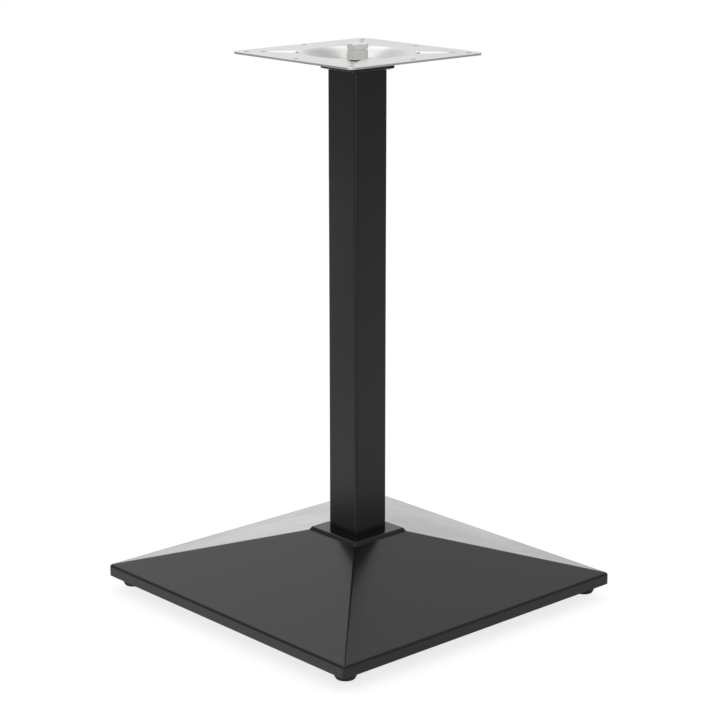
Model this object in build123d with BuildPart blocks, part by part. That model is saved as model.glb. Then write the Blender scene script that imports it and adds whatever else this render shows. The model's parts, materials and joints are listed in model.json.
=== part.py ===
from build123d import *
import os
from math import atan2, degrees, radians, sqrt, tan

# Pedestal table base: a hollow cast iron pyramid on four levelling feet, a square steel column,
# a pressed steel top plate, and one tie rod that clamps them together.
# Millimetres. The origin is on the floor under the column, +Z is up.

# Overall height, floor to the top face of the plate
table_height = 725.0

# Cast base
base_side = 480.0
base_corner = 6.0
rim_clearance = 12.0
rim_height = 15.0
rim_edge = 4.0
profile_overrun = 0.05
face_rise = 55.0
pad_foot_side = 94.0
pad_top_side = 88.0
pad_height = 5.0
casting_wall = 6.0
rib_thickness = 6.0
rib_toe = 4.0
rod_boss_diameter = 48.0
rod_boss_depth = 34.0
foot_boss_diameter = 26.0

# Column
column_side = 55.0
column_wall = 2.0
column_corner = 4.0

# Locating spigots, on the casting and on the column's top flange
spigot_height = 12.0
spigot_wall = 5.0
spigot_clearance = 0.3

# Column flange
flange_side = 68.0
flange_thickness = 4.0
flange_corner = 2.0

# Pressed top plate
plate_side = 230.0
plate_corner = 12.0
sheet = 2.5
dish_rim_diameter = 140.0
dish_floor_diameter = 80.0
dish_depth = 12.5
press_radius = 6.0
bead_reach_in = 9.0
bead_length = 57.0
bead_depth = 3.2
bead_tip_depth = 0.4
bead_width = 26.0
bead_flare = 3.2
corner_screw_square = 200.0
edge_screw_circle = 206.0
screw_hole = 6.5
inner_square = 171.0
inner_hole = 5.5
slot_setback = 7.0
slot_length = 16.0
slot_width = 5.0

# Tie rod, nuts and washers
rod_diameter = 16.0
rod_hole_clearance = 1.0
rod_chamfer = 1.5
rod_proud = 0.6
thread_clearance = 0.05
nut_across_flats = 24.0
nut_height = 13.0
thin_nut_height = 8.0
top_washer_diameter = 30.0
base_washer_diameter = 40.0
washer_thickness = 3.0
spring_washer_diameter = 27.4
spring_washer_thickness = 3.5
spring_washer_split = 3.0

# Levelling feet
foot_inset = 24.0
foot_diameter = 28.0
foot_tread_diameter = 24.0
foot_taper_height = 3.5
foot_gap = 0.3
foot_socket_depth = 7.0
stud_diameter = 8.0
stud_engagement = 15.0
stud_clearance = 0.1
tapping_depth = 17.0

# Levels, from the floor up
rim_bottom = rim_clearance
rim_top = rim_bottom + rim_height
pad_foot = rim_top + face_rise
pad_top = pad_foot + pad_height
rod_boss_bottom = pad_top - rod_boss_depth
plate_top = table_height
dish_floor = plate_top - dish_depth
flange_top = dish_floor - sheet
column_top = flange_top - flange_thickness
clamp_nut_seat = dish_floor + washer_thickness
lock_nut_seat = clamp_nut_seat + nut_height
rod_top = lock_nut_seat + thin_nut_height + rod_proud
base_washer_bottom = rod_boss_bottom - washer_thickness
base_nut_seat = base_washer_bottom - spring_washer_thickness
rod_bottom = base_nut_seat - nut_height - rod_proud

# Slope of the pyramid's faces, and the hollow under them one wall thickness in
face_slope = face_rise / ((base_side - pad_foot_side) / 2)
wall_drop = casting_wall * sqrt(1 + face_slope**2)
profile_half = base_side / 2 + profile_overrun
profile_edge = rim_top - profile_overrun * face_slope
core_side = base_side - 2 * casting_wall
core_crown_side = pad_foot_side - 4 * casting_wall
core_spring = rim_top + (base_side - core_side) / 2 * face_slope - wall_drop
core_crown = rim_top + (base_side - core_crown_side) / 2 * face_slope - wall_drop
rod_hole = rod_diameter + 2 * rod_hole_clearance
rim_radius = dish_rim_diameter / 2
floor_radius = dish_floor_diameter / 2
column_bore = column_side - 2 * column_wall
column_bore_corner = column_corner - column_wall
spigot_side = column_bore - 2 * spigot_clearance
foot_reach = base_side / 2 - foot_inset
above_everything = 2 * table_height
corners = {
    "front_left": (-foot_reach, -foot_reach),
    "front_right": (foot_reach, -foot_reach),
    "back_left": (-foot_reach, foot_reach),
    "back_right": (foot_reach, foot_reach),
}
diagonals = (45, 135, 225, 315)


def upright_plane(x, y):
    """Upright sketch plane through a vertical line, with its own y up."""
    return Plane(origin=(x, y, 0), x_dir=(1, 0, 0), z_dir=(0, -1, 0))


def diagonal_plane(angle, distance, level):
    """Upright plane across a diagonal of the square, with its own x along the tangent."""
    outward = Vector(1, 0, 0).rotate(Axis.Z, angle)
    tangent = Vector(0, 1, 0).rotate(Axis.Z, angle)
    return Plane(origin=outward * distance + Vector(0, 0, level), x_dir=tangent, z_dir=outward)


def hex_nut(seat, height):
    """Hexagon nut on the rod."""
    with BuildPart() as nut:
        with BuildSketch(Plane.XY.offset(seat)):
            RegularPolygon(nut_across_flats / 2, 6, major_radius=False)
            Circle(rod_diameter / 2 + thread_clearance, mode=Mode.SUBTRACT)
        extrude(amount=height)
    return nut


def flat_washer(seat, diameter):
    """Flat washer round the rod."""
    with BuildPart() as washer:
        with BuildSketch(Plane.XY.offset(seat)):
            Circle(diameter / 2)
            Circle(rod_hole / 2, mode=Mode.SUBTRACT)
        extrude(amount=washer_thickness)
    return washer


def foot_pad(x, y):
    """Moulded round glide with a tapered side and a socket for its stud."""
    height = rim_bottom - foot_gap
    with BuildPart() as pad:
        with BuildSketch(upright_plane(x, y)):
            with BuildLine():
                Polyline(
                    (0, 0),
                    (foot_tread_diameter / 2, 0),
                    (foot_diameter / 2, foot_taper_height),
                    (foot_diameter / 2, height),
                    (stud_diameter / 2, height),
                    (stud_diameter / 2, height - foot_socket_depth),
                    (0, height - foot_socket_depth),
                    close=True,
                )
            make_face()
        revolve(axis=Axis((x, y, 0), (0, 0, 1)))
    return pad


def foot_stud(x, y):
    """Threaded stud moulded into a glide and screwed up into the casting."""
    bottom = rim_bottom - foot_gap - foot_socket_depth
    with BuildPart() as stud:
        with BuildSketch(Plane.XY.offset(bottom)):
            with Locations((x, y)):
                Circle(stud_diameter / 2)
        extrude(amount=rim_bottom + stud_engagement - bottom)
    return stud


def bead_section(angle, outset):
    """Deep end of a trough along one diagonal of the plate, its walls and floor moved out by outset."""
    wall_shift = outset * sqrt(1 + bead_flare**2)
    half_mouth = bead_width / 2 + bead_flare * bead_depth + wall_shift
    half_floor = bead_width / 2 - bead_flare * (bead_depth + outset) + wall_shift
    with BuildSketch(diagonal_plane(angle, rim_radius - bead_reach_in, plate_top)) as section:
        with BuildLine():
            Polyline(
                (-half_mouth, bead_depth),
                (half_mouth, bead_depth),
                (half_floor, -bead_depth - outset),
                (-half_floor, -bead_depth - outset),
                close=True,
            )
        make_face()
    return section.sketch


# Hollow of the casting, less the ribs and bosses that stand in it
with BuildPart() as core:
    with BuildSketch(Plane.XY.offset(rim_bottom)):
        Rectangle(core_side, core_side)
    extrude(amount=core_spring - rim_bottom)
    with BuildSketch(Plane.XY.offset(core_spring)):
        Rectangle(core_side, core_side)
    extrude(amount=core_crown - core_spring, taper=90 - degrees(atan2(face_slope, 1)))
    with BuildSketch(Plane.XY.offset(rod_boss_bottom)):
        Circle(rod_boss_diameter / 2)
    extrude(amount=above_everything, mode=Mode.SUBTRACT)
    for angle in diagonals:
        rib_middle = Plane.XZ.rotated((0, 0, angle))
        with BuildSketch(rib_middle):
            with BuildLine():
                Polyline(
                    (0, rod_boss_bottom),
                    (rod_boss_diameter / 2, rod_boss_bottom),
                    (foot_reach * sqrt(2), rim_bottom + rib_toe),
                    (foot_reach * sqrt(2), above_everything),
                    (0, above_everything),
                    close=True,
                )
            make_face()
        extrude(amount=rib_thickness / 2, both=True, mode=Mode.SUBTRACT)
    boss = foot_boss_diameter / 2
    corner_room = core_side / 2 - foot_reach
    with BuildSketch(Plane.XY.offset(rim_bottom)):
        with Locations((foot_reach, foot_reach)):
            Circle(boss)
        with Locations((foot_reach + corner_room / 2, foot_reach)):
            Rectangle(corner_room, 2 * boss)
        with Locations((foot_reach, foot_reach + corner_room / 2)):
            Rectangle(2 * boss, corner_room)
        mirror(about=Plane.YZ)
        mirror(about=Plane.XZ)
    extrude(amount=above_everything, mode=Mode.SUBTRACT)

# Base casting: a square block cut to one profile both ways, with the column's spigot on its pad.
# The profile runs just past the block's sides, so that only the block forms them.
with BuildPart() as base_casting:
    with BuildSketch(Plane.XY.offset(rim_bottom)):
        RectangleRounded(base_side, base_side, base_corner)
    extrude(amount=pad_top - rim_bottom)
    for middle in (Plane.XZ, Plane.YZ):
        with BuildSketch(middle) as profile:
            with BuildLine():
                Polyline(
                    (0, rim_bottom),
                    (profile_half, rim_bottom),
                    (profile_half, profile_edge),
                    (pad_foot_side / 2, pad_foot),
                    (pad_top_side / 2, pad_top),
                    (0, pad_top),
                )
                mirror(about=Plane.YZ)
            make_face()
            fillet(profile.vertices().group_by(Axis.Y)[1], rim_edge)
        extrude(amount=base_side, both=True, mode=Mode.INTERSECT)
    with BuildSketch(Plane.XY.offset(pad_top)):
        RectangleRounded(spigot_side, spigot_side, column_bore_corner)
    extrude(amount=spigot_height)
    add(core.part, mode=Mode.SUBTRACT)
    with Locations((0, 0, pad_top + spigot_height)):
        Hole(rod_hole / 2, depth=spigot_height + rod_boss_depth)
    with BuildSketch(Plane.XY.offset(rim_bottom)):
        with GridLocations(2 * foot_reach, 2 * foot_reach, 2, 2):
            Circle(stud_diameter / 2 + stud_clearance)
    extrude(amount=tapping_depth, mode=Mode.SUBTRACT)
base_casting.part.label = "base_casting"

# Column tube, standing on the pad round the casting's spigot
with BuildPart() as column_tube:
    with BuildSketch(Plane.XY.offset(pad_top)):
        RectangleRounded(column_side, column_side, column_corner)
        RectangleRounded(column_bore, column_bore, column_bore_corner, mode=Mode.SUBTRACT)
    extrude(amount=column_top - pad_top)
column_tube.part.label = "column_tube"

# Column flange: a square plate on the tube's end with a hollow spigot down inside it
with BuildPart() as column_flange:
    with BuildSketch(Plane.XY.offset(column_top)):
        RectangleRounded(flange_side, flange_side, flange_corner)
    extrude(amount=flange_thickness)
    with BuildSketch(Plane.XY.offset(column_top - spigot_height)):
        RectangleRounded(spigot_side, spigot_side, column_bore_corner)
        Rectangle(spigot_side - 2 * spigot_wall, spigot_side - 2 * spigot_wall, mode=Mode.SUBTRACT)
    extrude(amount=spigot_height)
    with Locations((0, 0, flange_top)):
        Hole(rod_hole / 2, depth=flange_thickness)
column_flange.part.label = "column_flange"

# Top plate: a flat sheet pressed down into a round dish, with a trough out to each corner
wall_angle = degrees(atan2(dish_depth, rim_radius - floor_radius))
bend_shift = sheet * tan(radians(wall_angle / 2))
skirt_radius = rim_radius + 3 * sheet
clear_height = dish_depth / 2
clear_radius = (rim_radius + floor_radius) / 2
bead_taper = degrees(atan2(bead_depth - bead_tip_depth, bead_length))
bends = (
    ((floor_radius, dish_floor), press_radius),
    ((rim_radius, plate_top), press_radius + sheet),
)
with BuildPart() as top_plate:
    with BuildSketch(Plane.XY.offset(plate_top - sheet)):
        RectangleRounded(plate_side, plate_side, plate_corner)
        Circle(skirt_radius - sheet, mode=Mode.SUBTRACT)
    extrude(amount=sheet)
    with BuildSketch(Plane.XZ) as dish_section:
        with BuildLine():
            Polyline(
                (rod_hole / 2, dish_floor),
                (floor_radius, dish_floor),
                (rim_radius, plate_top),
                (skirt_radius, plate_top),
                (skirt_radius, plate_top - sheet),
                (rim_radius + bend_shift, plate_top - sheet),
                (floor_radius + bend_shift, dish_floor - sheet),
                (rod_hole / 2, dish_floor - sheet),
                close=True,
            )
        make_face()
        for place, radius in bends:
            fillet(dish_section.vertices().sort_by_distance(place)[0], radius)
    revolve(axis=Axis.Z)
    for angle in diagonals:
        extrude(bead_section(angle, sheet), amount=bead_length, taper=bead_taper)
    split(bisect_by=Plane.XY.offset(plate_top), keep=Keep.BOTTOM)
    with BuildSketch(Plane.XZ):
        with BuildLine():
            Polyline(
                (0, plate_top - clear_height),
                (clear_radius, plate_top - clear_height),
                (rim_radius, plate_top),
                (0, plate_top),
                close=True,
            )
        make_face()
    revolve(axis=Axis.Z, mode=Mode.SUBTRACT)
    for angle in diagonals:
        extrude(bead_section(angle, 0), amount=bead_length, taper=bead_taper, mode=Mode.SUBTRACT)
    with BuildSketch(Plane.XY.offset(dish_floor - sheet)):
        with GridLocations(corner_screw_square, corner_screw_square, 2, 2):
            Circle(screw_hole / 2)
        with PolarLocations(edge_screw_circle / 2, 4):
            Circle(screw_hole / 2)
        with GridLocations(inner_square, inner_square, 2, 2):
            Circle(inner_hole / 2)
        with PolarLocations(rim_radius + slot_setback, 4, start_angle=45):
            SlotOverall(slot_length, slot_width, rotation=90)
    extrude(amount=dish_depth + sheet, mode=Mode.SUBTRACT)
top_plate.part.label = "top_plate"

# Tie rod from under the casting's boss to above the plate's dish
with BuildPart() as tie_rod:
    with BuildSketch(Plane.XY.offset(rod_bottom)):
        Circle(rod_diameter / 2)
    extrude(amount=rod_top - rod_bottom)
    chamfer(tie_rod.edges().filter_by(GeomType.CIRCLE), rod_chamfer)
tie_rod.part.label = "tie_rod"

# Top fastening: washer, nut and thin lock nut in the dish
top_washer = flat_washer(dish_floor, top_washer_diameter)
top_washer.part.label = "top_washer"
clamp_nut = hex_nut(clamp_nut_seat, nut_height)
clamp_nut.part.label = "clamp_nut"
lock_nut = hex_nut(lock_nut_seat, thin_nut_height)
lock_nut.part.label = "lock_nut"

# Bottom fastening: washer, split spring washer and nut under the casting's boss
base_washer = flat_washer(base_washer_bottom, base_washer_diameter)
base_washer.part.label = "base_washer"
with BuildPart() as spring_washer:
    with BuildSketch(Plane.XY.offset(base_nut_seat)):
        Circle(spring_washer_diameter / 2)
        Circle(rod_hole / 2, mode=Mode.SUBTRACT)
        with Locations((spring_washer_diameter / 2, 0)):
            Rectangle(spring_washer_diameter, spring_washer_split, mode=Mode.SUBTRACT)
    extrude(amount=spring_washer_thickness)
spring_washer.part.label = "spring_washer"
base_nut = hex_nut(base_nut_seat - nut_height, nut_height)
base_nut.part.label = "base_nut"

os.makedirs("parts", exist_ok=True)
export_step(base_casting.part, "parts/base_casting.step")
export_step(column_tube.part, "parts/column_tube.step")
export_step(column_flange.part, "parts/column_flange.step")
export_step(top_plate.part, "parts/top_plate.step")
export_step(tie_rod.part, "parts/tie_rod.step")
export_step(top_washer.part, "parts/top_washer.step")
export_step(clamp_nut.part, "parts/clamp_nut.step")
export_step(lock_nut.part, "parts/lock_nut.step")
export_step(base_washer.part, "parts/base_washer.step")
export_step(spring_washer.part, "parts/spring_washer.step")
export_step(base_nut.part, "parts/base_nut.step")

# One glide and one stud at each corner
for corner, (foot_x, foot_y) in corners.items():
    pad = foot_pad(foot_x, foot_y)
    pad.part.label = f"foot_pad_{corner}"
    export_step(pad.part, f"parts/foot_pad_{corner}.step")
    stud = foot_stud(foot_x, foot_y)
    stud.part.label = f"foot_stud_{corner}"
    export_step(stud.part, f"parts/foot_stud_{corner}.step")
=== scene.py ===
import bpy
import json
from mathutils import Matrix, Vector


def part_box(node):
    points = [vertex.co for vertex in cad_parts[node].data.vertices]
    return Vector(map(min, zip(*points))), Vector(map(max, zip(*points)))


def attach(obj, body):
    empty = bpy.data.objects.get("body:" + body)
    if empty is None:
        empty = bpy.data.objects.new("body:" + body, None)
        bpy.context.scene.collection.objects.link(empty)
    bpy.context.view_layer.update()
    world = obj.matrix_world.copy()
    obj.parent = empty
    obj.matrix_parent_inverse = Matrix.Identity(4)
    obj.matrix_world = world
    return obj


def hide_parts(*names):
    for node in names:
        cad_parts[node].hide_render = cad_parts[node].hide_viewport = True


bl_info = {
    "name": "Cast iron table base",
    "version": (1, 0, 0),
    "blender": (4, 5, 0),
    "location": "3D View > Sidebar > Table base",
    "description": "Dresses the table base with its castings, threads, nuts and finishes in a white studio",
    "category": "Object",
}

import json
from math import ceil, cos, pi, radians, sin, sqrt

import bpy
from bpy.props import FloatProperty, FloatVectorProperty, PointerProperty
from mathutils import Vector

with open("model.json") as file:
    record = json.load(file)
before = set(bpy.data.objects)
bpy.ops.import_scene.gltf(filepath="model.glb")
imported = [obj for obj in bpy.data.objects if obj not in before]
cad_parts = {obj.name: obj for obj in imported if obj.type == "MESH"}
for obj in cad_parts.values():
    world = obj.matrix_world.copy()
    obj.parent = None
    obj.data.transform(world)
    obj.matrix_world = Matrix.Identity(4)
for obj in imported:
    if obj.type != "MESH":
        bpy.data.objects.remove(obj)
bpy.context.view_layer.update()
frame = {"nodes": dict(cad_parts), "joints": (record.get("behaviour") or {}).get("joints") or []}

# Places read from the frame, in metres
casting_low, casting_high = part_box("base_casting")
tube_low, tube_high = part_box("column_tube")
flange_low, flange_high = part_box("column_flange")
plate_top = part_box("top_plate")[1].z
rod_low, rod_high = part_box("tie_rod")
pad_low, pad_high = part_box("foot_pad_front_right")
stud_low, stud_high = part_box("foot_stud_front_right")
foot_corners = ("front_left", "front_right", "back_left", "back_right")
lowest_foot = pad_low.z - max(joint["range_m"][1] for joint in frame["joints"])

# How far a cutting tool runs past the piece that it cuts
overrun = 0.001
# How far a turned tool stands off the piece that it trims
stand_off = 0.0001
# Places nearer to each other than this count as the same
same_place = 0.00001
# Depth of a metric thread as a share of its pitch
thread_depth = 0.6134
# Width of the camera's sensor, in mm
sensor = 36.0
# Place of the overhead soft box, and the place on the column that it points at
soft_box_place = Vector((-0.9, 0.8, 2.5))
soft_box_aim = Vector((0, 0, 0.4))


def length(name, description, default):
    """A length in metres that a user may change."""
    return FloatProperty(
        name=name, description=description, default=default, min=0, unit="LENGTH", precision=5
    )


def colour(name, description, default):
    """A linear colour that a user may change."""
    return FloatVectorProperty(
        name=name, description=description, default=default, size=3, min=0, max=1, subtype="COLOR"
    )


def share(name, description, default):
    """A plain share from 0 to 1 that a user may change."""
    return FloatProperty(name=name, description=description, default=default, min=0, max=1, subtype="FACTOR")


def turn(name, description, degrees):
    """An angle that a user may change."""
    return FloatProperty(name=name, description=description, default=radians(degrees), subtype="ANGLE")


class CastingSizes(bpy.types.PropertyGroup):
    """Sizes of the cast pyramid that the frame doesn't give."""

    rim_height: length("Rim height", "Upright side of the rim below the sloping faces", 0.015)
    pad_height: length("Pad height", "Height of the raised pad under the column", 0.005)
    pad_foot: length("Pad foot", "Side of the pad where it meets the sloping faces", 0.094)
    pad_top: length("Pad top", "Side of the pad's flat top", 0.088)
    wall: length("Wall", "Thickness of the casting", 0.006)
    corner_round: length("Corner round", "Rounding of the rim's upright corners", 0.006)
    ridge_share: share("Ridge share", "Share of that rounding that is left along the ridges", 0.22)
    rim_round: length("Rim round", "Rounding along the top of the rim", 0.0032)
    pad_round: length("Pad round", "Rounding along the pad's top edge", 0.0012)
    rib: length("Rib", "Thickness of the ribs under the casting", 0.006)
    rib_toe: length("Rib toe", "Height of a rib's outer end above the rim's bottom", 0.004)
    rib_drop: length("Rib drop", "How far a rib stays below the casting's outside over the boss", 0.002)
    boss: length("Rod boss", "Radius of the boss that the tie rod pulls on", 0.024)
    boss_depth: length("Rod boss depth", "Depth of that boss below the pad's top", 0.034)
    foot_boss: length("Foot boss", "Radius of the boss over each foot", 0.013)
    boss_rise: length("Foot boss rise", "How far that boss runs up into the casting's wall", 0.003)
    foot_bore: length("Foot bore", "Radius of the tapped bore for a foot", 0.0041)
    foot_bore_depth: length("Foot bore depth", "Depth of that bore", 0.017)
    rod_bore: length("Rod bore", "Radius of the clearance bore for the tie rod", 0.009)


class ColumnSizes(bpy.types.PropertyGroup):
    """Sizes of the square tube and its flange that the frame doesn't give."""

    corner_round: length("Corner round", "Outside corner radius of the tube", 0.004)
    wall: length("Wall", "Thickness of the tube's wall", 0.002)
    flange: length("Flange", "Thickness of the flange on the tube's end", 0.004)
    collar_band: length("Collar band", "Upright edge of the flange's collar, below the flange", 0.001)
    collar: length("Collar", "Depth of the collar's taper round the tube", 0.0022)
    collar_end: length("Collar end", "Side of the collar's lower end", 0.058)
    collar_gap: length("Collar gap", "Gap between the collar and the tube", 0.0001)
    flange_corner: length("Flange corner", "Rounding of the flange's upright corners", 0.002)
    flange_round: length("Flange round", "Rounding of the flange's edges", 0.0006)
    spigot: length("Spigot", "Side of the spigots that fit inside the tube", 0.0504)
    spigot_wall: length("Spigot wall", "Wall of the flange's hollow spigot", 0.005)


class PlateSizes(bpy.types.PropertyGroup):
    """Sizes of the pressed plate that the frame doesn't give."""

    dish_rim: length("Dish rim", "Radius of the dish's rim", 0.070)
    gap_reach: length("Gap reach", "Distance from the dish's rim to the back of a sheared gap", 0.0026)
    edge_reach: length("Edge reach", "Distance from the dish's rim to the edge over a trough", 0.0043)
    # Painted shade: faces in this band at the back of a gap get the dark gap finish
    gap_band: length("Gap band", "Faces nearer than this to the back of a gap are bare steel", 0.0004)
    bridge_turn: turn("Bridge turn", "Angle of the dish's rim that bridges a trough", 18.4)
    smooth_angle: turn("Smooth angle", "Bends flatter than this are shaded as one surface", 28)


class FastenerSizes(bpy.types.PropertyGroup):
    """Sizes of the tie rod's thread, nuts and washers."""

    rod_pitch: length("Rod pitch", "Pitch of the tie rod's thread", 0.002)
    rod_thread: length("Rod thread", "Length of thread at each end of the rod", 0.045)
    rod_chamfer: length("Rod chamfer", "Chamfer on the rod's ends", 0.0012)
    across_flats: length("Across flats", "Width of a nut across its flats", 0.024)
    nut_crown: length("Nut crown", "Radius of the flat round face on a nut's end", 0.0114)
    nut_slope: length("Nut slope", "Height of the sloping crown at a nut's corners", 0.0014)
    nut_bore: length("Nut bore", "Radius of a nut's bore", 0.00805)
    countersink: length("Countersink", "Depth of the countersink at each end of a nut's bore", 0.0007)
    washer_bore: length("Washer bore", "Radius of a washer's hole", 0.009)
    washer_round: length("Washer round", "Rounding of a washer's edges", 0.0004)
    spring_gap: turn("Spring gap", "Angle of the split in the spring washer", 13)


class FootSizes(bpy.types.PropertyGroup):
    """Sizes of a levelling foot."""

    tread: length("Tread", "Radius of the face that stands on the floor", 0.0122)
    taper: length("Taper", "Height of the sloping part of the glide's side", 0.0035)
    edge_round: length("Edge round", "Rounding of the glide's edges", 0.0009)
    gate: length("Gate", "Depth of the moulding dimple under the glide", 0.0004)
    gate_radius: length("Gate radius", "Radius of that dimple", 0.004)
    socket: length("Socket", "Depth of the stud in the glide", 0.007)
    pitch: length("Pitch", "Pitch of the stud's thread", 0.00125)


class FinishColours(bpy.types.PropertyGroup):
    """Colours and gloss of the finishes."""

    casting: colour("Casting", "Satin black coat on the casting", (0.005, 0.005, 0.0054))
    tube: colour("Tube", "Satin black coat on the tube and flange", (0.003, 0.003, 0.0032))
    sheet: colour("Sheet", "Bright zinc on the pressed plate", (0.71, 0.71, 0.70))
    # The zinc's own pale tone, raised to near white as painted sheen for the glare on the nuts
    zinc_and_painted_sheen: colour("Plated", "Zinc on nuts, washers, rod and studs", (0.95, 0.95, 0.93))
    # Painted shade: this dark tone on the backs of the sheared gaps stands in for the shadow inside them
    gap_shade: colour("Punched", "Bare steel in the sheared gaps of the plate", (0.05, 0.05, 0.05))
    plastic: colour("Plastic", "Moulded black plastic of the glides", (0.007, 0.007, 0.007))
    casting_gloss: share("Casting gloss", "Strength of the casting's reflections", 0.45)
    tube_gloss: share("Tube gloss", "Strength of the tube's reflections", 0.42)


class StudioSizes(bpy.types.PropertyGroup):
    """Camera, floor and light."""

    yaw: turn("Yaw", "Turn of the camera round the column", 47.7216)
    pitch: turn("Pitch", "Tilt of the camera below the horizon", 14.9947)
    distance: length("Distance", "Camera to the point it looks at", 2.84149)
    look_height: length("Look height", "Height of the point that the camera looks at", 0.319709)
    look_side: length("Look side", "That point's distance to the right of the column", 0.003221)
    lens: FloatProperty(name="Lens", description="Focal length on a 36 mm sensor, in mm", default=107.646)
    floor: length("Floor", "Half side of the paper floor", 2.4)
    fill: share("Fill", "Light from all round", 0.8)
    sides: share("Sides", "How bright the studio's two sides look in reflections", 0.4)
    right_half: share("Right half", "How bright the studio's right half looks in reflections", 0.8)
    floor_behind: FloatProperty(
        name="Floor behind", description="How bright the floor behind the base looks in reflections",
        default=1.65,
    )
    paper: share("Paper", "How much of the light that falls on the floor it gives back to the base", 0.8)
    shade: share("Shade", "How strongly the floor shows shadows", 0.35)
    glow: share("Glow", "How bright the floor looks in the deepest shadow", 0.78)
    soft_box: length("Soft box", "Width of the overhead soft box", 0.7)
    soft_box_depth: length("Soft box depth", "Depth of the overhead soft box, away from the camera", 1.5)
    key: FloatProperty(
        name="Key", description="Power of the overhead soft box, in watts", default=2.5, min=0
    )


# Small steps of modelling, each done with the tools of a modeller


def set_mode(mode):
    """Puts the active object in a mode."""
    bpy.ops.object.mode_set(mode=mode)


def settle():
    """Back to object mode with nothing selected."""
    if bpy.context.object and bpy.context.object.mode != "OBJECT":
        set_mode("OBJECT")
    bpy.ops.object.select_all(action="DESELECT")


def take(piece):
    """Makes one piece the only selected one and the active one."""
    settle()
    piece.select_set(True)
    bpy.context.view_layer.objects.active = piece


def called(name):
    """Names the active object and bakes its place into its mesh."""
    piece = bpy.context.object
    piece.name = name
    piece.data.name = name
    bpy.ops.object.transform_apply(location=True, rotation=True, scale=True)
    return piece


def add_block(name, low, high):
    """A block between two opposite corners."""
    settle()
    low = Vector(low)
    high = Vector(high)
    bpy.ops.mesh.primitive_cube_add(size=1, location=(low + high) / 2)
    bpy.context.object.scale = high - low
    return called(name)


def add_bar(name, radius, bottom, top, sides=64, start=0.0):
    """An upright bar on the column's axis, round or with few sides."""
    settle()
    middle = (0, 0, (bottom + top) / 2)
    bpy.ops.mesh.primitive_cylinder_add(
        vertices=sides, radius=radius, depth=top - bottom, location=middle, rotation=(0, 0, start)
    )
    return called(name)


def draw_chain(name, points):
    """A chain of edges through (outward, up) points in the XZ plane, extruded from corner to corner."""
    settle()
    bpy.ops.mesh.primitive_plane_add(size=0.01)
    piece = called(name)
    set_mode("EDIT")
    bpy.ops.mesh.select_mode(type="VERT")
    bpy.ops.mesh.select_all(action="SELECT")
    bpy.ops.mesh.merge(type="CENTER")
    bpy.ops.transform.translate(value=(points[0][0], 0, points[0][1]))
    for (r0, z0), (r1, z1) in zip(points, points[1:]):
        bpy.ops.mesh.extrude_vertices_move(TRANSFORM_OT_translate={"value": (r1 - r0, 0, z1 - z0)})
    settle()
    return piece


def edit_whole(piece):
    """Edit mode with the whole piece selected."""
    take(piece)
    set_mode("EDIT")
    bpy.ops.mesh.select_all(action="SELECT")


def facing_up(centre, normal):
    """Whether a face looks up."""
    return normal.z > 0.9


def facing_down(centre, normal):
    """Whether a face looks down."""
    return normal.z < -0.9


def upright(a, b):
    """Whether an edge stands upright."""
    return (a.xy - b.xy).length < same_place


def level_at(height):
    """A test for edges that lie at a height."""
    return lambda a, b: max(abs(a.z - height), abs(b.z - height)) < same_place


def pick_none(piece, kind):
    """Sets a piece to the picking of faces or edges, with none picked."""
    take(piece)
    set_mode("EDIT")
    bpy.ops.mesh.select_mode(type=kind)
    bpy.ops.mesh.select_all(action="DESELECT")
    set_mode("OBJECT")


def pick_faces(piece, wanted):
    """Edit mode with only those faces selected whose centre and normal are wanted."""
    pick_none(piece, "FACE")
    for face in piece.data.polygons:
        face.select = bool(wanted(face.center, face.normal))
    set_mode("EDIT")


def pick_edges(piece, wanted):
    """Edit mode with only those edges selected whose two ends are wanted."""
    pick_none(piece, "EDGE")
    corners = piece.data.vertices
    for edge in piece.data.edges:
        edge.select = bool(wanted(corners[edge.vertices[0]].co, corners[edge.vertices[1]].co))
    set_mode("EDIT")


def pull(up, widen=1.0):
    """Extrudes the selected faces straight up and resizes their far end about the column's axis."""
    bpy.ops.mesh.extrude_region_move(TRANSFORM_OT_translate={"value": (0, 0, up)})
    bpy.ops.transform.resize(value=(widen, widen, 1), center_override=(0, 0, 0))


def round_off(width, segments):
    """Rounds the selected edges."""
    bpy.ops.mesh.bevel(offset=width, segments=segments, profile=0.5, affect="EDGES", clamp_overlap=False)
    set_mode("OBJECT")


def add_modifier(piece, kind):
    """Makes a piece active and gives it a modifier."""
    take(piece)
    bpy.ops.object.modifier_add(type=kind)
    return piece.modifiers[-1]


def apply_modifier(modifier):
    """Applies a modifier of the active piece."""
    bpy.ops.object.modifier_apply(modifier=modifier.name)


def round_edges(piece, width, segments, angle):
    """Rounds every edge sharper than an angle."""
    bevel = add_modifier(piece, "BEVEL")
    bevel.width = width
    bevel.segments = segments
    bevel.limit_method = "ANGLE"
    bevel.angle_limit = angle
    apply_modifier(bevel)


def round_by_share(piece, width, segments, share_of):
    """Rounds each edge by its own share of a width."""
    corners = piece.data.vertices
    weights = piece.data.attributes.new("bevel_weight_edge", "FLOAT", "EDGE")
    for edge, weight in zip(piece.data.edges, weights.data):
        weight.value = share_of(corners[edge.vertices[0]].co, corners[edge.vertices[1]].co)
    bevel = add_modifier(piece, "BEVEL")
    bevel.width = width
    bevel.segments = segments
    bevel.limit_method = "WEIGHT"
    bevel.use_clamp_overlap = False
    apply_modifier(bevel)


def combine(piece, tool, operation):
    """Joins a tool to a piece, cuts it away, or keeps what both share, and removes the tool."""
    boolean = add_modifier(piece, "BOOLEAN")
    boolean.operation = operation
    boolean.solver = "EXACT"
    boolean.object = tool
    apply_modifier(boolean)
    bpy.data.objects.remove(tool)


def weld(piece):
    """Merges doubled corners and turns every face outwards."""
    edit_whole(piece)
    bpy.ops.mesh.remove_doubles(threshold=0.000002)
    bpy.ops.mesh.normals_make_consistent(inside=False)
    set_mode("OBJECT")


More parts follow.
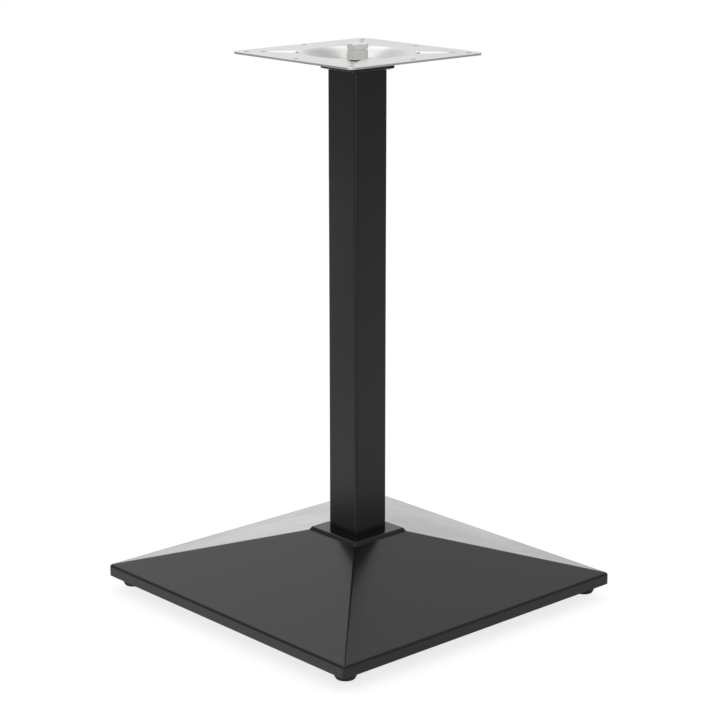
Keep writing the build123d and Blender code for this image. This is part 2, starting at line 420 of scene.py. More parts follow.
def turn_chain(piece, steps, angle=2 * pi, rise=0.0, turns=1):
    """Turns a chain round the column's axis into a surface, climbing by rise in each turn."""
    screw = add_modifier(piece, "SCREW")
    screw.steps = steps
    screw.render_steps = steps
    screw.angle = angle
    screw.screw_offset = rise
    screw.iterations = turns
    apply_modifier(screw)
    weld(piece)


def turned(name, points, steps=64):
    """A turned solid whose half section starts and ends on the axis, or closes on itself."""
    piece = draw_chain(name, points)
    turn_chain(piece, steps)
    return piece


def part_turned(name, points, steps, angle, start):
    """A closed section turned part of the way round from a starting angle, with its ends filled."""
    piece = draw_chain(name, points)
    turn_chain(piece, steps, angle)
    take(piece)
    piece.rotation_euler.z = start
    called(name)
    edit_whole(piece)
    bpy.ops.mesh.fill_holes(sides=0)
    set_mode("OBJECT")
    weld(piece)
    return piece


def cut_level(piece, level, keep_above):
    """Cuts a piece square at a level and closes the cut."""
    edit_whole(piece)
    bpy.ops.mesh.bisect(
        plane_co=(0, 0, level), plane_no=(0, 0, 1), use_fill=True,
        clear_inner=keep_above, clear_outer=not keep_above,
    )
    set_mode("OBJECT")


def threaded(name, radius, pitch, bottom, top, steps=36):
    """A bar with a rolled thread all along, cut square at both ends."""
    root = radius - thread_depth * pitch
    start = bottom - 2 * pitch
    # One turn of the thread, with a flat at its root and a narrower one at its crest
    tooth = (
        (root, start),
        (root, start + pitch / 4),
        (radius, start + pitch * 9 / 16),
        (radius, start + pitch * 11 / 16),
        (root, start + pitch),
    )
    bar = draw_chain(name, tooth)
    turn_chain(bar, steps, rise=pitch, turns=ceil((top - bottom) / pitch) + 3)
    cut_level(bar, bottom, keep_above=True)
    cut_level(bar, top, keep_above=False)
    weld(bar)
    return bar


def smooth(piece, angle):
    """Smooth shading except across sharp edges, with large flat faces kept flat."""
    take(piece)
    bpy.ops.object.shade_smooth_by_angle(angle=angle)
    weighted = add_modifier(piece, "WEIGHTED_NORMAL")
    weighted.keep_sharp = True
    weighted.weight = 80
    apply_modifier(weighted)


def fit(piece, body, node, finish):
    """Gives a piece its finish and puts it in the place of its CAD node."""
    piece.data.materials.clear()
    piece.data.materials.append(finish)
    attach(piece, body)
    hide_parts(node)
    settle()


def copy_at(piece, name, x, y):
    """A copy of a piece with its own mesh, moved across the floor."""
    take(piece)
    bpy.ops.object.duplicate(linked=False)
    bpy.context.object.location = (x, y, 0)
    return called(name)


# Finishes


def grey(level):
    """An opaque grey."""
    return (level, level, level, 1)


def add_node(tree, kind, values=()):
    """A shader node with some of its inputs set, each by its name or number."""
    node = tree.nodes.new("ShaderNode" + kind)
    for name, value in dict(values).items():
        node.inputs[name].default_value = value
    return node


def add_mix(tree, factor):
    """A node that mixes two colours by a factor."""
    mix = add_node(tree, "Mix")
    mix.data_type = "RGBA"
    tree.links.new(factor, mix.inputs["Factor"])
    return mix


def add_noise(tree, place, scale, detail, stretch=(1, 1, 1)):
    """Noise on Object coordinates, stretched along an axis where the finish has a grain."""
    mapping = add_node(tree, "Mapping", {"Scale": stretch})
    noise = add_node(tree, "TexNoise", {"Scale": scale, "Detail": detail})
    tree.links.new(place, mapping.inputs["Vector"])
    tree.links.new(mapping.outputs["Vector"], noise.inputs["Vector"])
    return noise.outputs["Fac"]


def add_range(tree, value, low, high):
    """Spreads a noise value, which seldom leaves 0.3 to 0.7, between two limits."""
    limits = {"From Min": 0.3, "From Max": 0.7, "To Min": low, "To Max": high}
    spread = add_node(tree, "MapRange", limits)
    tree.links.new(value, spread.inputs["Value"])
    return spread.outputs["Result"]


def add_tint(tree, value, dark, light):
    """A colour that drifts between two tones."""
    mix = add_mix(tree, value)
    mix.inputs["A"].default_value = (*dark, 1)
    mix.inputs["B"].default_value = (*light, 1)
    return mix.outputs["Result"]


def add_bump(tree, height, strength, depth):
    """A surface relief from a height."""
    bump = add_node(tree, "Bump", {"Strength": strength, "Distance": depth})
    tree.links.new(height, bump.inputs["Height"])
    return bump.outputs["Normal"]


def dress(tree, shader, tint, roughness, relief):
    """Links a finish's colour, roughness and relief to its shader."""
    tree.links.new(tint, shader.inputs["Base Color"])
    tree.links.new(roughness, shader.inputs["Roughness"])
    tree.links.new(relief, shader.inputs["Normal"])


def satin_black(tree, shader, place, tone, gloss, low_roughness, high_roughness, peel):
    """Satin black powder coat with a fine orange peel."""
    drift = add_noise(tree, place, scale=9.0, detail=3.0)
    grain = add_noise(tree, place, scale=520.0, detail=2.0)
    tint = add_tint(tree, drift, tone, [1.25 * part for part in tone])
    roughness = add_range(tree, drift, low_roughness, high_roughness)
    dress(tree, shader, tint, roughness, add_bump(tree, grain, strength=peel, depth=0.00006))
    shader.inputs["Specular IOR Level"].default_value = gloss


def bright_zinc(tree, shader, place, tone, low_roughness, high_roughness, metal):
    """Zinc on steel with the faint grain of turned bar, a random bloom in tone and roughness, and a given
    metallic share.
    """
    bloom = add_noise(tree, place, scale=38.0, detail=4.0)
    grain = add_noise(tree, place, scale=900.0, detail=2.0, stretch=(1, 1, 0.2))
    tint = add_tint(tree, bloom, [0.9 * part for part in tone], tone)
    roughness = add_range(tree, bloom, low_roughness, high_roughness)
    dress(tree, shader, tint, roughness, add_bump(tree, grain, strength=0.12, depth=0.00004))
    shader.inputs["Metallic"].default_value = metal


def pressed_zinc_with_painted_shade(tree, shader, place, tone, rim, low_roughness, high_roughness, fade=0.010):
    """Zinc on pressed sheet: a rolling grain, and painted shade that darkens the dish inside its rim."""
    bloom = add_noise(tree, place, scale=38.0, detail=4.0)
    grain = add_noise(tree, place, scale=700.0, detail=2.0, stretch=(0.05, 1, 1))
    flat = add_node(tree, "VectorMath", {1: (1, 1, 0)})
    flat.operation = "MULTIPLY"
    radius = add_node(tree, "VectorMath")
    radius.operation = "LENGTH"
    tree.links.new(place, flat.inputs[0])
    tree.links.new(flat.outputs["Vector"], radius.inputs[0])
    # Mask of the painted shade: 0 inside the dish, rising to 1 at its rim
    wall = add_node(tree, "MapRange", {"From Min": rim - fade, "From Max": rim})
    wall.interpolation_type = "SMOOTHSTEP"
    tree.links.new(radius.outputs["Value"], wall.inputs["Value"])
    sheet = add_tint(tree, bloom, [0.92 * part for part in tone], tone)
    # Painted shade: the dish inside its rim is three quarters as bright as the sheet
    painted_dish_shade = [0.75 * part for part in tone]
    mix = add_mix(tree, wall.outputs["Result"])
    mix.inputs["A"].default_value = (*painted_dish_shade, 1)
    tree.links.new(sheet, mix.inputs["B"])
    roughness = add_range(tree, bloom, low_roughness, high_roughness)
    relief = add_bump(tree, grain, strength=0.10, depth=0.00004)
    dress(tree, shader, mix.outputs["Result"], roughness, relief)
    shader.inputs["Metallic"].default_value = 1.0


def moulded_black(tree, shader, place, tone):
    """Black moulded plastic with a fine spark texture."""
    drift = add_noise(tree, place, scale=60.0, detail=3.0)
    spark = add_noise(tree, place, scale=2600.0, detail=1.0)
    tint = add_tint(tree, drift, tone, [1.4 * part for part in tone])
    roughness = add_range(tree, drift, low=0.42, high=0.55)
    dress(tree, shader, tint, roughness, add_bump(tree, spark, strength=0.2, depth=0.00005))
    shader.inputs["Specular IOR Level"].default_value = 0.25


def finish_once(name, build, **details):
    """A finish by its name, built on Object coordinates the first time that it is asked for."""
    finish = bpy.data.materials.get(name)
    if finish is None:
        finish = bpy.data.materials.new(name)
        finish.use_nodes = True
        tree = finish.node_tree
        place = add_node(tree, "TexCoord")
        build(tree, tree.nodes["Principled BSDF"], place.outputs["Object"], **details)
    return finish


def casting_finish(colours):
    """Powder coat on the casting."""
    return finish_once(
        "satin_black_casting", satin_black, tone=colours.casting, gloss=colours.casting_gloss,
        low_roughness=0.20, high_roughness=0.24, peel=0.03,
    )


def tube_finish(colours):
    """Powder coat on the tube and its flange."""
    return finish_once(
        "satin_black_tube", satin_black, tone=colours.tube, gloss=colours.tube_gloss,
        low_roughness=0.24, high_roughness=0.29, peel=0.04,
    )


def sheet_finish(colours, rim):
    """Zinc on the pressed plate, with painted shade in the dish."""
    return finish_once(
        "bright_zinc_sheet", pressed_zinc_with_painted_shade, tone=colours.sheet, rim=rim, low_roughness=0.20, high_roughness=0.27
    )


def zinc_and_painted_sheen_finish(colours):
    """Zinc on nuts, washers, rod and studs, partly painted sheen: its near-white tone at a low metallic
    share stands in for glare on the nuts.
    """
    return finish_once(
        "zinc_plated_steel", bright_zinc, tone=colours.zinc_and_painted_sheen,
        # Painted sheen: a low metallic share lets the near-white tone show as a pale glare
        low_roughness=0.36, high_roughness=0.46, metal=0.3,
    )


def gap_shade_finish(colours):
    """Painted shade: dark steel on the backs of the plate's sheared gaps, standing in for the shadow inside
    them.
    """
    return finish_once(
        "painted_gap_shade", bright_zinc, tone=colours.gap_shade,
        low_roughness=0.45, high_roughness=0.60, metal=1.0,
    )


def plastic_finish(colours):
    """Plastic of the glides."""
    return finish_once("black_moulded_plastic", moulded_black, tone=colours.plastic)


# Pieces


class TABLEBASE_OT_cast_pyramid(bpy.types.Operator):
    """Models the hollow cast pyramid with its rim, pad, ribs and bosses"""

    bl_idname = "tablebase.cast_pyramid"
    bl_label = "Cast pyramid"

    def execute(self, context):
        sizes = context.scene.casting_sizes
        half = casting_high.x
        bottom = casting_low.z
        rim_top = bottom + sizes.rim_height
        pad_top = tube_low.z
        pad_foot = pad_top - sizes.pad_height
        slope = (pad_foot - rim_top) / (half - sizes.pad_foot / 2)
        core_half = half - sizes.wall
        crown_half = sizes.pad_foot / 2 - 2 * sizes.wall
        ceiling = rim_top + half * slope - sizes.wall * sqrt(1 + slope**2)
        spring = ceiling - core_half * slope
        crown = ceiling - crown_half * slope

        casting = add_block("cast_pyramid", (-half, -half, bottom), (half, half, rim_top))
        pick_faces(casting, facing_up)
        pull(pad_foot - rim_top, sizes.pad_foot / 2 / half)
        pull(pad_top - pad_foot, sizes.pad_top / sizes.pad_foot)
        pick_edges(casting, level_at(rim_top))
        round_off(sizes.rim_round, segments=8)

        def corner_share(a, b):
            """Whole on an upright corner, fading over the rim's rounding to the ridge's share."""
            if min(a.x * b.x, a.y * b.y) < 0:
                return 0.0
            above = (a.z + b.z) / 2 - (rim_top - sizes.rim_round)
            faded = 1.0 - (1.0 - sizes.ridge_share) * above / sizes.rim_round
            return max(sizes.ridge_share, min(1.0, faded))

        round_by_share(casting, sizes.corner_round, segments=6, share_of=corner_share)
        pick_edges(casting, level_at(pad_top))
        round_off(sizes.pad_round, segments=4)

        core = add_block("core", (-core_half, -core_half, bottom - overrun), (core_half, core_half, spring))
        pick_faces(core, facing_up)
        pull(crown - spring, crown_half / core_half)
        settle()
        combine(casting, core, "DIFFERENCE")

        boss_bottom = pad_top - sizes.boss_depth
        foot_reach = (pad_low.x + pad_high.x) / 2
        rib_end = foot_reach * sqrt(2)
        rib_lift = ceiling + sizes.wall / 2
        rib_crown = rib_lift - sizes.pad_foot / 2 / sqrt(2) * slope - sizes.rib_drop
        rib_outline = (
            (0, boss_bottom),
            (sizes.boss, boss_bottom),
            (rib_end, bottom + sizes.rib_toe),
            (rib_end, rib_lift - rib_end / sqrt(2) * slope),
            (sizes.pad_foot / 2, rib_crown),
            (0, rib_crown),
        )
        for quarter in range(4):
            rib = draw_chain("rib", rib_outline)
            edit_whole(rib)
            bpy.ops.mesh.edge_face_add()
            bpy.ops.mesh.extrude_region_move(TRANSFORM_OT_translate={"value": (0, sizes.rib, 0)})
            bpy.ops.mesh.select_all(action="SELECT")
            bpy.ops.transform.translate(value=(0, -sizes.rib / 2, 0))
            set_mode("OBJECT")
            rib.rotation_euler.z = radians(45 + 90 * quarter)
            called("rib")
            weld(rib)
            combine(casting, rib, "UNION")
        boss = add_bar("boss", sizes.boss, boss_bottom, crown + sizes.wall / 2)
        combine(casting, boss, "UNION")
        near = foot_reach - sizes.foot_boss
        far = core_half + sizes.wall / 2
        lug_top = spring + sizes.boss_rise
        for side_x in (-1, 1):
            for side_y in (-1, 1):
                left, right = sorted((side_x * near, side_x * far))
                front, back = sorted((side_y * near, side_y * far))
                lug = add_block("lug", (left, front, bottom), (right, back, lug_top))
                pick_edges(lug, lambda a, b: max(abs(a.x), abs(a.y), abs(b.x), abs(b.y)) < near + same_place)
                round_off(sizes.foot_boss, segments=10)
                combine(casting, lug, "UNION")
                bore_top = bottom + sizes.foot_bore_depth
                bore = add_bar("bore", sizes.foot_bore, bottom - overrun, bore_top, sides=32)
                bore.location = (side_x * foot_reach, side_y * foot_reach, 0)
                combine(casting, bore, "DIFFERENCE")

        column = context.scene.column_sizes
        spigot_half = column.spigot / 2
        spigot = add_block("spigot", (-spigot_half, -spigot_half, pad_top - overrun),
                           (spigot_half, spigot_half, casting_high.z))
        pick_edges(spigot, upright)
        round_off(column.corner_round - column.wall, segments=4)
        combine(casting, spigot, "UNION")
        rod_bore = add_bar(
            "rod_bore", sizes.rod_bore, boss_bottom - overrun, casting_high.z + overrun, sides=48
        )
        combine(casting, rod_bore, "DIFFERENCE")
        smooth(casting, angle=radians(24))
        finish = casting_finish(context.scene.finish_colours)
        fit(casting, "pedestal", "base_casting", finish)
        return {"FINISHED"}


class TABLEBASE_OT_square_tube(bpy.types.Operator):
    """Models the square column tube with its rounded corners and open ends"""

    bl_idname = "tablebase.square_tube"
    bl_label = "Square tube"

    def execute(self, context):
        sizes = context.scene.column_sizes
        tube = add_block("square_tube", tube_low, tube_high)
        pick_faces(tube, lambda centre, normal: facing_up(centre, normal) or facing_down(centre, normal))
        bpy.ops.mesh.delete(type="FACE")
        pick_edges(tube, upright)
        round_off(sizes.corner_round, segments=8)
        wall = add_modifier(tube, "SOLIDIFY")
        wall.thickness = sizes.wall
        wall.offset = -1
        apply_modifier(wall)
        weld(tube)
        smooth(tube, angle=radians(30))
        fit(tube, "pedestal", "column_tube", tube_finish(context.scene.finish_colours))
        return {"FINISHED"}


class TABLEBASE_OT_tube_flange(bpy.types.Operator):
    """Models the square flange on the column's top with its hollow spigot"""

    bl_idname = "tablebase.tube_flange"
    bl_label = "Tube flange"

    def execute(self, context):
        sizes = context.scene.column_sizes
        under = flange_high.z - sizes.flange
        band = under - sizes.collar_band
        flange = add_block("tube_flange", (flange_low.x, flange_low.y, band), flange_high)
        pick_faces(flange, facing_down)
        pull(-sizes.collar, sizes.collar_end / 2 / flange_high.x)
        pick_edges(flange, lambda a, b: min(a.x * b.x, a.y * b.y) > 0)
        round_off(sizes.flange_corner, segments=4)
        round_edges(flange, sizes.flange_round, segments=3, angle=radians(50))
        seat = tube_high.x + sizes.collar_gap
        recess = add_block("recess", (-seat, -seat, band - sizes.collar - overrun), (seat, seat, under))
        combine(flange, recess, "DIFFERENCE")
        outside = sizes.spigot / 2
        inside = outside - sizes.spigot_wall
        spigot = add_block("spigot", (-outside, -outside, flange_low.z), (outside, outside, under + overrun))
        pick_edges(spigot, upright)
        round_off(sizes.corner_round - sizes.wall, segments=4)
        hollow = add_block("hollow", (-inside, -inside, flange_low.z - overrun), (inside, inside, under))
        combine(spigot, hollow, "DIFFERENCE")
        combine(flange, spigot, "UNION")
        bore_radius = context.scene.casting_sizes.rod_bore
        bore = add_bar("bore", bore_radius, under - overrun, flange_high.z + overrun, sides=48)
        combine(flange, bore, "DIFFERENCE")
        smooth(flange, angle=radians(30))
        fit(flange, "pedestal", "column_flange", tube_finish(context.scene.finish_colours))
        return {"FINISHED"}


class TABLEBASE_OT_pressed_plate(bpy.types.Operator):
    """Smooths a copy of the pressed plate, bridges its troughs and gives it bright zinc, with painted shade
    in the dish and on the backs of the sheared gaps
    """

    bl_idname = "tablebase.pressed_plate"
    bl_label = "Pressed plate"

    def execute(self, context):
        sizes = context.scene.plate_sizes
        settle()
        plate = bpy.data.objects.new("pressed_plate", frame["nodes"]["top_plate"].data.copy())
        context.scene.collection.objects.link(plate)
        take(plate)
        bpy.ops.mesh.customdata_custom_splitnormals_clear()
        edit_whole(plate)
        bpy.ops.mesh.remove_doubles(threshold=0.000001)
        set_mode("OBJECT")
        for quarter in range(4):
            combine(plate, self.bridge(sizes, radians(45 + 90 * quarter)), "UNION")
        smooth(plate, sizes.smooth_angle)
        colours = context.scene.finish_colours
        fit(plate, "pedestal", "top_plate", sheet_finish(colours, sizes.dish_rim))
        # Painted shade: a dark second finish on the backs of the sheared gaps
        plate.data.materials.append(gap_shade_finish(colours))
        gap_radius = sizes.dish_rim + sizes.gap_reach

        def gets_gap_shade(centre, normal):
            """Whether a face is the upright back of a sheared gap, which gets the painted shade."""
            outward = abs(normal.z) < 0.3 and normal.xy.dot(centre.xy) > 0
            return outward and abs(centre.xy.length - gap_radius) < sizes.gap_band

        pick_faces(plate, gets_gap_shade)
        plate.active_material_index = 1
        bpy.ops.object.material_slot_assign()
        settle()
        return {"FINISHED"}

    def bridge(self, sizes, direction):
        """The dish's rim carried across the inner end of a trough, with the sheared gap under its edge."""
        # Places outward from the dish's rim and up from the plate's top
        section = (
            (-0.0075, -0.00318),
            (-0.0040, -0.00169),
            (-0.0020, -0.00086),
            (-0.0010, -0.00047),
            (0.0000, -0.00020),
            (0.0010, -0.00006),
            (0.0020, -0.00003),
            (sizes.edge_reach, -0.00003),
            (sizes.edge_reach, -0.00120),
            (sizes.gap_reach, -0.00120),
            (sizes.gap_reach, -0.00310),
            (0.0000, -0.00310),
            (-0.0040, -0.00340),
            (-0.0075, -0.00440),
            (-0.0075, -0.00318),
        )
        points = [(sizes.dish_rim + out, plate_top + up) for out, up in section]
        start = direction - sizes.bridge_turn / 2
        return part_turned("bridge", points, steps=12, angle=sizes.bridge_turn, start=start)


class TABLEBASE_OT_tie_rod(bpy.types.Operator):
    """Models the tie rod with a rolled thread at each end"""

    bl_idname = "tablebase.tie_rod"
    bl_label = "Tie rod"

    def execute(self, context):
        sizes = context.scene.fastener_sizes
        radius = rod_high.x
        chamfer = sizes.rod_chamfer
        # Rolling raises the thread, so the plain shank is thinner than the thread's crests
        shank_radius = radius - 0.3 * sizes.rod_pitch
        low_end = rod_low.z + sizes.rod_thread
        high_end = rod_high.z - sizes.rod_thread
        rod = add_bar("threaded_rod", shank_radius, low_end, high_end, sides=40)
        ends = (
            (rod_low.z, low_end + chamfer, rod_low.z, 1),
            (high_end - chamfer, rod_high.z, rod_high.z, -1),
        )
        for bottom, top, tip, inward in ends:
            thread = threaded("thread", radius, sizes.rod_pitch, bottom, top)
            far = top if inward > 0 else bottom
            bullet = turned("bullet", (
                (0, tip),
                (radius - chamfer, tip),
                (radius + stand_off, tip + inward * (chamfer + stand_off)),
                (radius + stand_off, far + inward * overrun),
                (0, far + inward * overrun),
            ))
            combine(thread, bullet, "INTERSECT")
            take(thread)
            rod.select_set(True)
            context.view_layer.objects.active = rod
            bpy.ops.object.join()
        smooth(rod, angle=radians(35))
        fit(rod, "pedestal", "tie_rod", zinc_and_painted_sheen_finish(context.scene.finish_colours))
        return {"FINISHED"}


class TABLEBASE_OT_hex_nuts(bpy.types.Operator):
    """Models the three hexagon nuts with sloping crowns and countersunk bores"""

    bl_idname = "tablebase.hex_nuts"
    bl_label = "Hex nuts"

    def execute(self, context):
        sizes = context.scene.fastener_sizes
        corner = sizes.across_flats / sqrt(3)
        sink = sizes.countersink
        nuts = (("upper_nut", "clamp_nut"), ("locking_nut", "lock_nut"), ("lower_nut", "base_nut"))
        for name, node in nuts:
            low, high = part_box(node)
            nut = add_bar(name, corner, low.z, high.z, sides=6, start=radians(30))
            crown = turned("crown", (
                (0, low.z),
                (sizes.nut_crown, low.z),
                (corner + stand_off, low.z + sizes.nut_slope),
                (corner + stand_off, high.z - sizes.nut_slope),
                (sizes.nut_crown, high.z),
                (0, high.z),
            ), steps=72)
            combine(nut, crown, "INTERSECT")
            bore = turned("bore", (
                (0, low.z - sink),
                (sizes.nut_bore + 2 * sink, low.z - sink),
                (sizes.nut_bore, low.z + sink),
                (sizes.nut_bore, high.z - sink),
                (sizes.nut_bore + 2 * sink, high.z + sink),
                (0, high.z + sink),
            ), steps=48)
            combine(nut, bore, "DIFFERENCE")
            smooth(nut, angle=radians(20))
            fit(nut, "pedestal", node, zinc_and_painted_sheen_finish(context.scene.finish_colours))
        return {"FINISHED"}


class TABLEBASE_OT_washers(bpy.types.Operator):
    """Models the two flat washers and the split spring washer"""

    bl_idname = "tablebase.washers"
    bl_label = "Washers"

    def execute(self, context):
        sizes = context.scene.fastener_sizes
        bore = sizes.washer_bore
        edge = sizes.washer_round
        rings = (
            ("upper_washer", "top_washer", 0.0),
            ("lower_washer", "base_washer", 0.0),
            ("split_washer", "spring_washer", sizes.spring_gap),
        )
        for name, node, gap in rings:
            low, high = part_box(node)
            outer = high.y
            section = (
                (bore, low.z),
                (outer - edge, low.z),
                (outer, low.z + edge),
                (outer, high.z - edge),
                (outer - edge, high.z),
                (bore, high.z),
                (bore, low.z),
            )
            if gap:
                ring = part_turned(name, section, steps=72, angle=2 * pi - gap, start=gap / 2)
            else:
                ring = turned(name, section, steps=72)
            smooth(ring, angle=radians(30))
            fit(ring, "pedestal", node, zinc_and_painted_sheen_finish(context.scene.finish_colours))
        return {"FINISHED"}


class TABLEBASE_OT_levelling_feet(bpy.types.Operator):
    """Models one levelling foot, a moulded glide on a threaded stud, and copies it to the four corners"""

    bl_idname = "tablebase.levelling_feet"
    bl_label = "Levelling feet"

    def execute(self, context):
        sizes = context.scene.foot_sizes
        colours = context.scene.finish_colours
        top = pad_high.z
        radius = (pad_high.x - pad_low.x) / 2
        stud_radius = (stud_high.x - stud_low.x) / 2
        glide = turned("glide", (
            (0, sizes.gate),
            (sizes.gate_radius, sizes.gate),
            (sizes.gate_radius + sizes.gate, 0),
            (sizes.tread, 0),
            (radius, sizes.taper),
            (radius, top),
            (stud_radius, top),
            (stud_radius, top - sizes.socket),
            (0, top - sizes.socket),
        ), steps=56)
        round_edges(glide, sizes.edge_round, segments=4, angle=radians(40))
        weld(glide)
        smooth(glide, angle=radians(35))
        stud = threaded("stud", stud_radius, sizes.pitch, stud_low.z, stud_high.z, steps=28)
        smooth(stud, angle=radians(35))
        for corner in foot_corners:
            low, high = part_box(f"foot_pad_{corner}")
            x = (low.x + high.x) / 2
            y = (low.y + high.y) / 2
            body = f"foot_{corner}"
            fit(copy_at(glide, f"glide_{corner}", x, y), body, f"foot_pad_{corner}",
                plastic_finish(colours))
            fit(copy_at(stud, f"stud_{corner}", x, y), body, f"foot_stud_{corner}",
                zinc_and_painted_sheen_finish(colours))
        bpy.data.objects.remove(glide)
        bpy.data.objects.remove(stud)
        return {"FINISHED"}


class TABLEBASE_OT_studio(bpy.types.Operator):
    """Sets up the pale floor, the white surround, the soft light and the camera"""

    bl_idname = "tablebase.studio"
    bl_label = "Studio"

    def execute(self, context):
        scene = context.scene
        sizes = scene.studio_sizes
        scene.view_settings.view_transform = "Standard"

        settle()
        bpy.ops.mesh.primitive_plane_add(size=2 * sizes.floor, location=(0, 0, lowest_foot))
        floor = called("floor")
        floor.data.materials.append(self.paper_floor(sizes))
        scene.world = self.white_surround(sizes)

        settle()
        bpy.ops.object.light_add(type="AREA", location=soft_box_place)
        key = context.object
        key.name = "overhead_soft_box"
        key.data.shape = "RECTANGLE"
        key.data.size = sizes.soft_box
        key.data.size_y = sizes.soft_box_depth
        key.data.energy = sizes.key
        key.rotation_euler = (soft_box_aim - key.location).to_track_quat("-Z", "Y").to_euler()

        right = Vector((cos(sizes.yaw), sin(sizes.yaw), 0))
        back = cos(sizes.pitch) * Vector((sin(sizes.yaw), -cos(sizes.yaw), 0))
        back.z = sin(sizes.pitch)
        target = sizes.look_side * right + Vector((0, 0, sizes.look_height))
        bpy.ops.object.camera_add(
            location=target + sizes.distance * back, rotation=(pi / 2 - sizes.pitch, 0, sizes.yaw)
        )
        camera = context.object
        camera.name = "camera"
        camera.data.sensor_width = sensor
        camera.data.lens = sizes.lens
        camera.data.clip_start = 0.05
        camera.data.clip_end = 100.0
        scene.camera = camera
        return {"FINISHED"}

    def by_ray(self, tree, output, lighting, mirrored, seen):
        """One shader for the light that falls on the object, one for reflections and one for the camera."""
        path = add_node(tree, "LightPath")
        direct = add_node(tree, "Math")
        direct.operation = "MAXIMUM"
        tree.links.new(path.outputs["Is Camera Ray"], direct.inputs[0])
        tree.links.new(path.outputs["Is Transmission Ray"], direct.inputs[1])
        reflected = add_node(tree, "MixShader")
        tree.links.new(path.outputs["Is Glossy Ray"], reflected.inputs["Fac"])
        tree.links.new(lighting.outputs[0], reflected.inputs[1])
        tree.links.new(mirrored.outputs[0], reflected.inputs[2])
        mix = add_node(tree, "MixShader")
        tree.links.new(direct.outputs[0], mix.inputs["Fac"])
        tree.links.new(reflected.outputs[0], mix.inputs[1])
        tree.links.new(seen.outputs[0], mix.inputs[2])
        out = add_node(tree, output)
        tree.links.new(mix.outputs[0], out.inputs["Surface"])

    def along(self, tree, place, direction, start, end):
        """How far a place lies between two distances along a level direction, from 0 to 1."""
        dot = add_node(tree, "VectorMath", {1: direction})
        dot.operation = "DOT_PRODUCT"
        spread = add_node(tree, "MapRange", {"From Min": start, "From Max": end})
        tree.links.new(place, dot.inputs[0])
        tree.links.new(dot.outputs["Value"], spread.inputs["Value"])
        return spread.outputs["Result"]

    def across_view(self, tree, place, yaw, reach, levels):
        """Brightness by the place across the camera's view, from 0 at the left to 1 at the right."""
        ramp = add_node(tree, "ValToRGB")
        stops = ramp.color_ramp.elements
        while len(stops) < len(levels):
            stops.new(0.5)
        for stop, (position, level) in zip(stops, levels):
            stop.position = position
            stop.color = grey(level)
        across = self.along(tree, place, (cos(yaw), sin(yaw), 0), -reach, reach)
        tree.links.new(across, ramp.inputs["Fac"])
        return ramp.outputs["Color"]

    def white_surround(self, sizes):
        """A surround that looks white, lights the object softly and has dimmer sides in reflections."""
        world = bpy.data.worlds.new("white_surround")
        world.use_nodes = True
        tree = world.node_tree
        tree.nodes.clear()
        place = add_node(tree, "TexCoord")
        # Places across the view and the brightness there
        levels = (
            (0.10, sizes.sides),
            (0.26, 1.0),
            (0.42, 1.0),
            (0.58, sizes.right_half),
            (0.74, 0.9 * sizes.right_half),
            (0.90, sizes.sides),
        )
        light = add_node(tree, "Background", {"Color": grey(1), "Strength": sizes.fill})
        mirrored = add_node(tree, "Background")
        dimmed = self.across_view(tree, place.outputs["Generated"], sizes.yaw, reach=1.0, levels=levels)
        tree.links.new(dimmed, mirrored.inputs["Color"])
        white = add_node(tree, "Background", {"Color": grey(1)})
        self.by_ray(tree, "OutputWorld", light, mirrored, white)
        return world

    def paper_floor(self, sizes):
        """Paper that looks white where nothing shades it and is dimmer to the right in reflections."""
        finish = bpy.data.materials.new("paper_floor")
        finish.use_nodes = True
        tree = finish.node_tree
        tree.nodes.clear()
        place = add_node(tree, "TexCoord")
        # Places across the view and the brightness there
        levels = (
            (0.05, 0.45),
            (0.27, 0.85),
            (0.485, 1.0),
            (0.515, 0.62),
            (0.73, 0.78),
            (0.95, 0.62),
        )
        paper = add_node(tree, "BsdfDiffuse", {"Color": grey(sizes.paper)})
        mirrored = add_node(tree, "Emission")
        front = self.across_view(tree, place.outputs["Object"], sizes.yaw, reach=2.0, levels=levels)
        away = (-sin(sizes.yaw), cos(sizes.yaw), 0)
        behind = add_mix(tree, self.along(tree, place.outputs["Object"], away, start=0.25, end=0.45))
        behind.inputs["B"].default_value = grey(sizes.floor_behind)
        tree.links.new(front, behind.inputs["A"])
        tree.links.new(behind.outputs["Result"], mirrored.inputs["Color"])
        shade = add_node(tree, "BsdfDiffuse", {"Color": grey(sizes.shade)})
        glow = add_node(tree, "Emission", {"Strength": sizes.glow})
        lit = add_node(tree, "AddShader")
        tree.links.new(shade.outputs[0], lit.inputs[0])
        tree.links.new(glow.outputs[0], lit.inputs[1])
        self.by_ray(tree, "OutputMaterial", paper, mirrored, lit)
        return finish


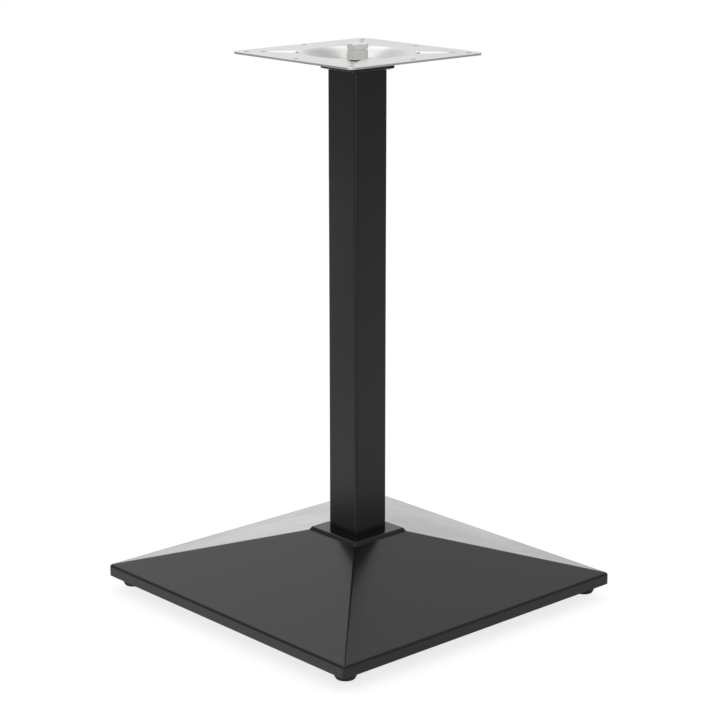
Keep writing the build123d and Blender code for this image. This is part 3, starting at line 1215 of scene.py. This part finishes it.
class TABLEBASE_PT_pieces(bpy.types.Panel):
    """Lists the pieces of the table base and the studio"""

    bl_idname = "TABLEBASE_PT_pieces"
    bl_label = "Table base"
    bl_space_type = "VIEW_3D"
    bl_region_type = "UI"
    bl_category = "Table base"

    def draw(self, context):
        """A button for each operator, then a box of settings for each group."""
        for operator in operators:
            self.layout.operator(operator.bl_idname)
        for group, settings in groups.items():
            box = self.layout.box()
            box.label(text=group.__doc__)
            for name in group.__annotations__:
                box.prop(getattr(context.scene, settings), name)


groups = {
    CastingSizes: "casting_sizes",
    ColumnSizes: "column_sizes",
    PlateSizes: "plate_sizes",
    FastenerSizes: "fastener_sizes",
    FootSizes: "foot_sizes",
    FinishColours: "finish_colours",
    StudioSizes: "studio_sizes",
}
operators = (
    TABLEBASE_OT_cast_pyramid,
    TABLEBASE_OT_square_tube,
    TABLEBASE_OT_tube_flange,
    TABLEBASE_OT_pressed_plate,
    TABLEBASE_OT_tie_rod,
    TABLEBASE_OT_hex_nuts,
    TABLEBASE_OT_washers,
    TABLEBASE_OT_levelling_feet,
    TABLEBASE_OT_studio,
)


def register():
    """Adds the settings, operators and panel to Blender."""
    for group, name in groups.items():
        bpy.utils.register_class(group)
        setattr(bpy.types.Scene, name, PointerProperty(type=group))
    for operator in operators:
        bpy.utils.register_class(operator)
    bpy.utils.register_class(TABLEBASE_PT_pieces)


def unregister():
    """Takes them away again."""
    bpy.utils.unregister_class(TABLEBASE_PT_pieces)
    for operator in reversed(operators):
        bpy.utils.unregister_class(operator)
    for group, name in reversed(groups.items()):
        delattr(bpy.types.Scene, name)
        bpy.utils.unregister_class(group)


def main():
    """Makes every piece and the studio."""
    register()
    bpy.ops.tablebase.cast_pyramid()
    bpy.ops.tablebase.square_tube()
    bpy.ops.tablebase.tube_flange()
    bpy.ops.tablebase.pressed_plate()
    bpy.ops.tablebase.tie_rod()
    bpy.ops.tablebase.hex_nuts()
    bpy.ops.tablebase.washers()
    bpy.ops.tablebase.levelling_feet()
    bpy.ops.tablebase.studio()


if __name__ == "__main__":
    main()
